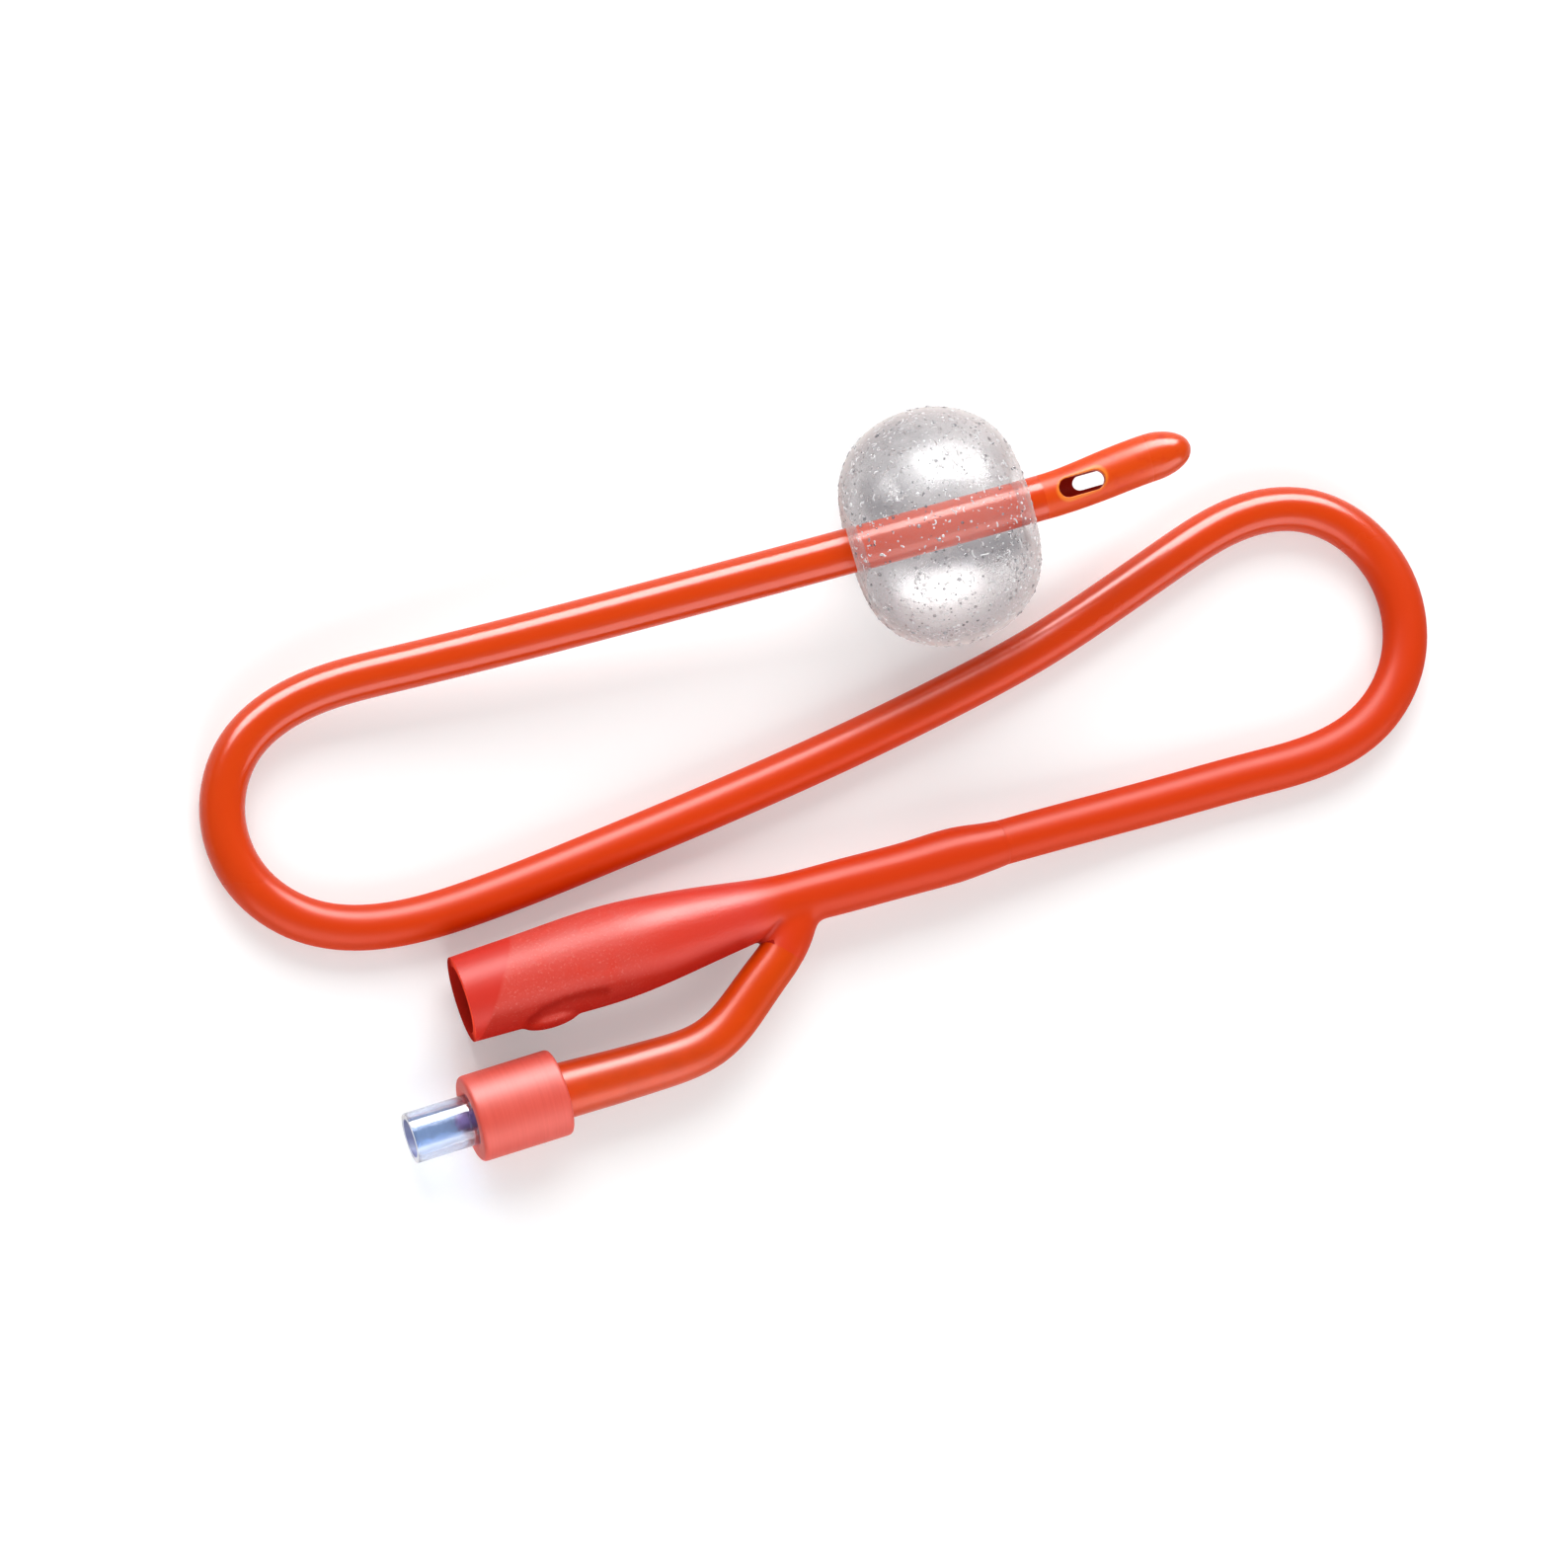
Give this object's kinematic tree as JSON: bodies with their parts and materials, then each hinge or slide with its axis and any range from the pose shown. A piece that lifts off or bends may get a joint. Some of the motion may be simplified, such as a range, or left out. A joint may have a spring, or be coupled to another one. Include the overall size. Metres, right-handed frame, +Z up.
{
  "type": "foley urinary catheter",
  "caption": "Two-way latex urinary catheter lying in an S, with a drainage funnel, an inflation valve on a side arm, a filled clear retention balloon and a rounded tip with drainage eyes.",
  "frame": {"origin": "centre of the bounding box's underside, on the surface that the catheter lies on", "axes": "+X along the drainage funnel, from its mouth towards the tube; +Z up from the surface; +Y across it, from the funnel's side to the balloon's side"},
  "size_m": [0.15, 0.0691, 0.028],
  "materials": {
    "glossy_latex": "smooth orange latex with a wet gloss",
    "satin_latex": "coral red latex, satin with a fine grain",
    "coral_rubber": "salmon coral rubber, matte",
    "clear_rubber": "thin clear rubber stretched over water, smooth",
    "clear_plastic": "clear, faintly blue plastic",
    "white_plastic": "white moulded plastic",
    "seal_rubber": "black rubber",
    "spring_steel": "bright wire"
  },
  "bodies": {
    "catheter": {"shaft_tube": "glossy_latex", "drainage_tip": "glossy_latex", "retention_balloon": "clear_rubber", "funnel_body": "satin_latex", "inflation_arm": "glossy_latex", "valve_cuff": "coral_rubber", "valve_housing": "clear_plastic", "spring_retainer": "white_plastic", "valve_spring": "spring_steel"},
    "valve_core": {"valve_plunger": "white_plastic", "valve_seal": "seal_rubber"}
  },
  "joints": [
    {"name": "valve_press", "type": "slide", "parent": "catheter", "child": "valve_core", "axis": [1, 0, 0], "range_m": [0, 0.0012], "stiffness_N_per_m": 300, "springref_m": -0.0004, "deforming": ["valve_spring"]}
  ]
}
